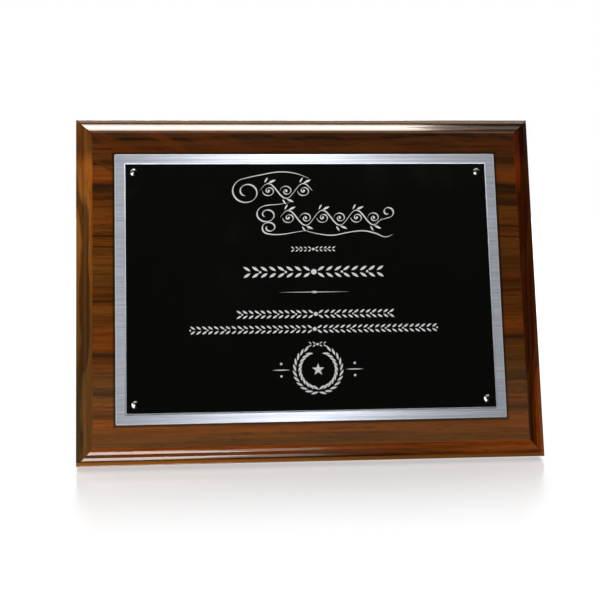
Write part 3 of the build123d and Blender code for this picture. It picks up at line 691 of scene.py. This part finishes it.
# ---------------------------------------------------------------------------
# Engraving. Where the black coat is cut away the frosted aluminium shows as pale
# grey. The design is plain ornament: scrolls, garlands, a rule and a wreath.
# ---------------------------------------------------------------------------
engraving_origin = Vector((0.0, plate_low.y, (plate_low.z + plate_high.z) / 2))
MILLIMETRE = 0.001
NIB_ANGLE = math.radians(38.0)
STROKE_HEIGHT = 0.09

engraved_bright, tree, shader = new_material("engraved_bright")
place = shader_node(tree, "ShaderNodeTexCoord").outputs["Object"]
frost = noise_at(tree, place, (1.0, 1.0, 1.0), 4000.0, 2.0)
frost_tone = mix_colours(tree, frost, (0.78, 0.78, 0.78, 1.0), (0.92, 0.92, 0.91, 1.0))
wire(tree, frost_tone, shader, "Base Color")
shader.inputs["Metallic"].default_value = 0.15
frost_gloss = ramp_value(tree, frost, 0.3, 0.7, 0.50, 0.65)
wire(tree, frost_gloss, shader, "Roughness")


def join_pieces(name, parts):
    """Joins the parts into one object and returns it."""
    bpy.ops.object.select_all(action="DESELECT")
    for part in parts:
        part.select_set(True)
    bpy.context.view_layer.objects.active = parts[0]
    bpy.ops.object.join()
    joined = bpy.context.object
    joined.name = name
    joined.data.name = name
    return joined


def set_on_plate(piece):
    """Moves a piece drawn in millimetres round the plate's middle onto the leaning plate."""
    select_only(piece)
    grown = Matrix.Scale(MILLIMETRE, 4)
    piece.matrix_world = lean_back @ Matrix.Translation(engraving_origin) @ grown
    bpy.ops.object.transform_apply(location=True, rotation=True, scale=True)
    piece.data.materials.clear()
    piece.data.materials.append(engraved_bright)
    plate_card_lit.objects.link(piece)
    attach(piece, "board")


def pen_stroke(path, thin, thick):
    """One stroke of a broad pen through (x, z) points: wide where it runs across the nib."""
    bpy.ops.object.select_all(action="DESELECT")
    bpy.ops.curve.primitive_bezier_curve_add(location=(0.0, 0.0, 0.0))
    stroke = bpy.context.object
    line = stroke.data
    line.dimensions = "3D"
    line.resolution_u = 5
    line.bevel_depth = 0.5
    line.bevel_resolution = 1
    line.use_fill_caps = True
    spline = line.splines[0]
    spline.bezier_points.add(len(path) - 2)
    last = len(path) - 1
    for number, point in enumerate(spline.bezier_points):
        before = path[max(number - 1, 0)]
        after = path[min(number + 1, last)]
        heading = math.atan2(after[1] - before[1], after[0] - before[0])
        pressure = thin + (thick - thin) * abs(math.sin(heading - NIB_ANGLE)) ** 1.4
        taper = min(1.0, 0.15 + 0.5 * number, 0.15 + 0.5 * (last - number))
        point.co = (path[number][0], 0.0, path[number][1])
        point.handle_left_type = "AUTO"
        point.handle_right_type = "AUTO"
        point.radius = pressure * taper
    bpy.ops.object.convert(target="MESH")
    bpy.ops.object.mode_set(mode="EDIT")
    bpy.ops.mesh.select_all(action="SELECT")
    bpy.ops.transform.resize(value=(1.0, STROKE_HEIGHT, 1.0), center_override=(0.0, 0.0, 0.0))
    bpy.ops.object.mode_set(mode="OBJECT")
    return bpy.context.object


def spiral(middle, start_radius, end_radius, start_angle, turns, flatness=1.0):
    """Points of a spiral round a middle point, twelve to a turn. Angles are in degrees."""
    count = max(4, int(abs(turns) * 12))
    points = []
    for number in range(count + 1):
        share = number / count
        radius = start_radius + (end_radius - start_radius) * share
        angle = math.radians(start_angle) + math.tau * turns * share
        x = middle[0] + radius * math.cos(angle)
        z = middle[1] + radius * math.sin(angle) * flatness
        points.append((x, z))
    return points


def leaf_model():
    """One pointed leaf, a unit long along X and flat against the plate: a lozenge with its sides rounded."""
    bpy.ops.object.select_all(action="DESELECT")
    bpy.ops.mesh.primitive_circle_add(
        vertices=4, radius=0.5, fill_type="NGON", location=(0.0, 0.0, 0.0), rotation=(math.pi / 2, 0.0, 0.0)
    )
    leaf = bpy.context.object
    bpy.ops.object.transform_apply(location=True, rotation=True, scale=True)
    bpy.ops.object.mode_set(mode="EDIT")
    bpy.ops.mesh.select_all(action="SELECT")
    bpy.ops.transform.resize(value=(1.0, 1.0, 0.46), center_override=(0.0, 0.0, 0.0))
    bpy.ops.mesh.select_mode(type="VERT")
    bpy.ops.mesh.select_all(action="DESELECT")
    bpy.ops.object.mode_set(mode="OBJECT")
    for vertex in leaf.data.vertices:
        vertex.select = abs(vertex.co.z) > 0.1
    bpy.ops.object.mode_set(mode="EDIT")
    bpy.ops.mesh.bevel(offset=0.30, segments=4, affect="VERTICES")
    bpy.ops.mesh.select_all(action="SELECT")
    bpy.ops.mesh.extrude_region_move(TRANSFORM_OT_translate={"value": (0.0, -0.02, 0.0)})
    bpy.ops.mesh.select_all(action="SELECT")
    bpy.ops.mesh.normals_make_consistent(inside=False)
    bpy.ops.object.mode_set(mode="OBJECT")
    return leaf


def bead_model():
    """One round bead, a unit across and flat against the plate."""
    bpy.ops.object.select_all(action="DESELECT")
    bpy.ops.mesh.primitive_cylinder_add(
        vertices=14, radius=0.5, depth=0.04, location=(0.0, 0.0, 0.0), rotation=(math.pi / 2, 0.0, 0.0)
    )
    bead = bpy.context.object
    bpy.ops.object.transform_apply(location=True, rotation=True, scale=True)
    return bead


def set_copy(model, x, z, turn, length, width):
    """A copy of a model with its own mesh, turned by degrees about its middle and set at x, z."""
    copied = model.copy()
    copied.data = model.data.copy()
    bpy.context.scene.collection.objects.link(copied)
    sized = Matrix.Diagonal((length, 1.0, width, 1.0))
    turned = Matrix.Rotation(-math.radians(turn), 4, "Y")
    copied.matrix_world = Matrix.Translation((x, 0.0, z)) @ turned @ sized
    select_only(copied)
    bpy.ops.object.transform_apply(location=True, rotation=True, scale=True)
    return copied


leaf = leaf_model()
bead = bead_model()


def vine(start_x, end_x, middle_z, hollows, swell):
    """A running vine: a waving stem, a curl with a bead in each hollow and a leaf over each crest."""
    half = (end_x - start_x) / hollows
    stem = []
    for step in range(hollows * 5 + 1):
        share = step / 5
        stem.append((start_x + half * share, middle_z + swell * math.sin(math.pi * share)))
    parts = [pen_stroke(stem, 0.35, 1.15)]
    for hollow in range(hollows):
        side = 1.0 if hollow % 2 == 0 else -1.0
        middle = (start_x + half * (hollow + 0.52), middle_z + side * swell * 0.02)
        curl = spiral(middle, half * 0.37, half * 0.07, 180.0, side * 1.35, 0.88)
        parts.append(pen_stroke(curl, 0.30, 1.0))
        parts.append(set_copy(bead, middle[0], middle[1], 0.0, 1.5, 1.5))
        crest_x = start_x + half * (hollow + 0.72)
        crest_z = middle_z + side * (swell + 1.5)
        parts.append(set_copy(leaf, crest_x, crest_z, side * 24.0, half * 0.46, half * 0.40))
        bud_x = crest_x - half * 0.34
        bud_z = crest_z + side * 0.9
        parts.append(set_copy(leaf, bud_x, bud_z, side * 58.0, half * 0.36, half * 0.30))
    return parts


scroll_parts = vine(-32.0, 3.0, 63.5, 3, 5.0) + vine(-19.0, 49.0, 45.2, 6, 5.0)
swash_paths = [
    spiral((-40.5, 63.0), 3.2, 10.4, 252.0, -1.45, 0.90)
    + [(-30.0, 74.6), (-19.0, 76.4), (-8.0, 75.4), (1.0, 72.0)],
    spiral((-27.5, 47.5), 2.2, 7.4, 234.0, -1.4, 0.84) + [(-20.0, 54.4), (-12.0, 55.6)],
    spiral((-26.0, 38.8), 1.8, 5.4, 126.0, 1.4, 0.82) + [(-18.0, 34.2), (-9.0, 35.6), (0.0, 37.0)],
    [(-4.0, 37.0), (6.0, 34.4), (16.0, 33.4), (26.0, 35.2)]
    + [(36.0, 36.2), (44.0, 34.6), (51.0, 32.0), (56.0, 33.6)],
    spiral((53.0, 49.0), 1.4, 4.4, 306.0, -1.1, 0.92) + [(48.0, 43.4), (43.0, 40.4)],
]
for path in swash_paths:
    scroll_parts.append(pen_stroke(path, 0.35, 1.35))
set_on_plate(join_pieces("engraved_scrollwork", scroll_parts))


def garland(name, left, right, low, high, pitch):
    """A row of leaf pairs that run outwards from a bead in the middle of the row."""
    height = high - low
    middle_x = (left + right) / 2
    middle_z = (low + high) / 2
    parts = [set_copy(bead, middle_x, middle_z, 0.0, height * 0.42, height * 0.42)]
    count = int((right - left) / 2 / pitch)
    for number in range(count):
        for side in (-1.0, 1.0):
            x = middle_x + side * (number + 0.85) * pitch
            for row in (-1.0, 1.0):
                z = middle_z + row * height * 0.25
                turn = side * row * 33.0
                parts.append(set_copy(leaf, x, z, turn, height * 0.62, height * 0.62))
            if number % 3 == 2:
                bead_x = x + side * pitch * 0.45
                parts.append(set_copy(bead, bead_x, middle_z, 0.0, height * 0.18, height * 0.18))
    set_on_plate(join_pieces(name, parts))


garland("engraved_small_garland", -12.0, 17.0, 22.2, 26.2, 2.8)
garland("engraved_large_garland", -47.0, 52.0, 4.6, 13.4, 5.6)
garland("engraved_upper_garland", -50.0, 56.0, -22.2, -15.8, 3.9)
garland("engraved_lower_garland", -78.5, 82.5, -32.0, -25.8, 3.8)
garland("engraved_foot_garland", -4.0, 11.0, -40.8, -37.0, 2.6)

rule_parts = [
    set_copy(leaf, 2.5, -4.5, 0.0, 47.0, 1.4),
    set_copy(leaf, 2.5, -4.5, 0.0, 5.6, 4.6),
]
set_on_plate(join_pieces("engraved_rule", rule_parts))

WREATH_MIDDLE = (3.5, -55.5)
WREATH_RADIUS = 15.4
WREATH_ROW_GAP = 3.6
WREATH_LEAF_PAIRS = 11
WREATH_START = -80.0
WREATH_STEP = 14.2
LEAF_SPLAY = 24.0
wreath_parts = []
for number in range(WREATH_LEAF_PAIRS):
    for side in (-1.0, 1.0):
        angle = math.radians(WREATH_START + number * WREATH_STEP)
        for inside in (0.0, 1.0):
            radius = WREATH_RADIUS - inside * WREATH_ROW_GAP
            x = WREATH_MIDDLE[0] + side * radius * math.cos(angle)
            z = WREATH_MIDDLE[1] + radius * math.sin(angle)
            along = math.degrees(angle) + 90.0 + (LEAF_SPLAY if inside else -LEAF_SPLAY)
            turn = along if side > 0 else 180.0 - along
            wreath_parts.append(set_copy(leaf, x, z, turn, 5.2, 4.4))
for side in (-1.0, 1.0):
    x = WREATH_MIDDLE[0] + side * 24.0
    wreath_parts.append(set_copy(leaf, x, WREATH_MIDDLE[1], 0.0, 12.0, 2.2))
    wreath_parts.append(set_copy(bead, x, WREATH_MIDDLE[1] + 4.0, 0.0, 1.6, 1.6))
    wreath_parts.append(set_copy(bead, x, WREATH_MIDDLE[1] - 4.0, 0.0, 1.6, 1.6))
set_on_plate(join_pieces("engraved_wreath", wreath_parts))

STAR_RADIUS = 8.2
STAR_HEIGHT = 0.12
STAR_WAIST = 0.42
bpy.ops.object.select_all(action="DESELECT")
bpy.ops.mesh.primitive_cone_add(
    vertices=10,
    radius1=STAR_RADIUS,
    radius2=0.0,
    depth=STAR_HEIGHT,
    location=(0.0, 0.0, 0.0),
    rotation=(math.pi / 2, 0.0, 0.0),
)
star = bpy.context.object
star.name = "engraved_star"
bpy.ops.object.transform_apply(location=True, rotation=True, scale=True)
rim = [vertex for vertex in star.data.vertices if vertex.co.x ** 2 + vertex.co.z ** 2 > 1.0]
for vertex in star.data.vertices:
    vertex.select = False
for edge in star.data.edges:
    edge.select = False
for face in star.data.polygons:
    face.select = False
for vertex in rim:
    angle = math.degrees(math.atan2(vertex.co.z, vertex.co.x))
    vertex.select = round((angle - 90.0) / 36.0) % 2 == 1
bpy.ops.object.mode_set(mode="EDIT")
bpy.ops.transform.resize(value=(STAR_WAIST, 1.0, STAR_WAIST), center_override=(0.0, 0.0, 0.0))
bpy.ops.mesh.select_all(action="SELECT")
bpy.ops.transform.translate(value=(WREATH_MIDDLE[0], 0.0, WREATH_MIDDLE[1]))
bpy.ops.object.mode_set(mode="OBJECT")
set_on_plate(star)

for model in (leaf, bead):
    bpy.data.objects.remove(model)

# ---------------------------------------------------------------------------
# Keyhole hanger. Stamped steel, zinc plated, let into the back over a drilled
# pocket and held by two countersunk screws.
# ---------------------------------------------------------------------------
steel_zinc, tree, shader = new_material("steel_zinc")
place = shader_node(tree, "ShaderNodeTexCoord").outputs["Object"]
zinc_marks = place_group(tree, handling_marks, {"Vector": place, "Spread": 4.0})
spangle = shader_node(tree, "ShaderNodeTexVoronoi", {"Vector": place, "Scale": 700.0}).outputs["Color"]
spangle_tone = shader_node(tree, "ShaderNodeRGBToBW", {"Color": spangle}).outputs[0]
zinc_tone = mix_colours(tree, spangle_tone, (0.50, 0.52, 0.55, 1.0), (0.70, 0.71, 0.72, 1.0))
zinc_dull = mix_colours(tree, zinc_marks["Smudge"], zinc_tone, (0.42, 0.42, 0.40, 1.0))
wire(tree, zinc_dull, shader, "Base Color")
shader.inputs["Metallic"].default_value = 1.0
zinc_gloss = ramp_value(tree, zinc_marks["Smudge"], 0.0, 1.0, 0.28, 0.45)
wire(tree, zinc_gloss, shader, "Roughness")
zinc_bump = shader_node(
    tree, "ShaderNodeBump", {"Height": spangle_tone, "Strength": 0.15, "Distance": 0.0001}
)
wire(tree, zinc_bump.outputs[0], shader, "Normal")
back_window = soft_light("back_window", (0.80, 1.20, 0.80), PLAQUE_MIDDLE, (1.4, 1.0), 4.0, WARM_WHITE, True)
back_window_lit = light_only(back_window, frame["nodes"]["hanger_plate"])
back_window_lit.objects.link(frame["nodes"]["hanger_screws"])
frame["nodes"]["hanger_plate"].material_slots[0].material = steel_zinc
frame["nodes"]["hanger_screws"].material_slots[0].material = steel_zinc

# ---------------------------------------------------------------------------
# Wall bumpers. Four moulded rubber buttons glued in the corners of the back.
# ---------------------------------------------------------------------------
rubber_black, tree, shader = new_material("rubber_black")
place = shader_node(tree, "ShaderNodeTexCoord").outputs["Object"]
rubber_marks = place_group(tree, handling_marks, {"Vector": place, "Spread": 1.6})
rubber_tone = mix_colours(
    tree, rubber_marks["Smudge"], (0.018, 0.018, 0.019, 1.0), (0.045, 0.044, 0.042, 1.0)
)
wire(tree, rubber_tone, shader, "Base Color")
rubber_gloss = ramp_value(tree, rubber_marks["Smudge"], 0.0, 1.0, 0.55, 0.75)
wire(tree, rubber_gloss, shader, "Roughness")
rubber_skin = noise_at(tree, place, (1.0, 1.0, 1.0), 1600.0, 2.0)
rubber_bump = shader_node(
    tree, "ShaderNodeBump", {"Height": rubber_skin, "Strength": 0.4, "Distance": 0.0002}
)
wire(tree, rubber_bump.outputs[0], shader, "Normal")
frame["nodes"]["wall_bumpers"].material_slots[0].material = rubber_black

# ---------------------------------------------------------------------------
# Leg hinge. Two rolled brass-plated steel leaves on a steel pin, each fixed by
# three small countersunk screws.
# ---------------------------------------------------------------------------
brass_hinge, tree, shader = new_material("brass_hinge")
place = shader_node(tree, "ShaderNodeTexCoord").outputs["Object"]
brass_marks = place_group(tree, handling_marks, {"Vector": place, "Spread": 5.0})
brass_brush = place_group(tree, brush_lines, {"Vector": place, "Fineness": 5000.0})
brass_tone = mix_colours(tree, brass_brush["Lines"], (0.62, 0.41, 0.12, 1.0), (0.80, 0.58, 0.24, 1.0))
brass_dull = mix_colours(tree, brass_marks["Smudge"], brass_tone, (0.40, 0.26, 0.10, 1.0))
wire(tree, brass_dull, shader, "Base Color")
shader.inputs["Metallic"].default_value = 1.0
brass_gloss = ramp_value(tree, brass_marks["Smudge"], 0.0, 1.0, 0.24, 0.42)
wire(tree, brass_gloss, shader, "Roughness")
for name in ("hinge_fixed_leaf", "hinge_moving_leaf", "hinge_pin", "board_hinge_screws", "leg_hinge_screws"):
    frame["nodes"][name].material_slots[0].material = brass_hinge
    back_window_lit.objects.link(frame["nodes"][name])

# ---------------------------------------------------------------------------
# Easel leg. A tapered strut of thin walnut-faced plywood with a satin stain, and
# a rubber strip along its foot.
# ---------------------------------------------------------------------------
walnut_leg, tree, shader = new_material("walnut_leg")
place = shader_node(tree, "ShaderNodeTexCoord").outputs["Object"]
turned_grain = shader_node(
    tree,
    "ShaderNodeMapping",
    {"Vector": place, "Rotation": (0.0, math.pi / 2, 0.0), "Location": (0.0, 0.03, 0.02)},
).outputs[0]
leg_figure = place_group(
    tree,
    walnut_figure,
    {
        "Vector": turned_grain,
        "Body": (0.130, 0.055, 0.018, 1.0),
        "Dark": (0.045, 0.019, 0.008, 1.0),
        "Red": (0.170, 0.062, 0.016, 1.0),
        "Pale": (0.200, 0.100, 0.040, 1.0),
    },
)
wire(tree, leg_figure["Color"], shader, "Base Color")
shader.inputs["Roughness"].default_value = 0.5
leg_bump = shader_node(
    tree, "ShaderNodeBump", {"Height": leg_figure["Height"], "Strength": 0.6, "Distance": 0.0001}
)
wire(tree, leg_bump.outputs[0], shader, "Normal")
frame["nodes"]["easel_leg"].material_slots[0].material = walnut_leg
frame["nodes"]["leg_foot"].material_slots[0].material = rubber_black
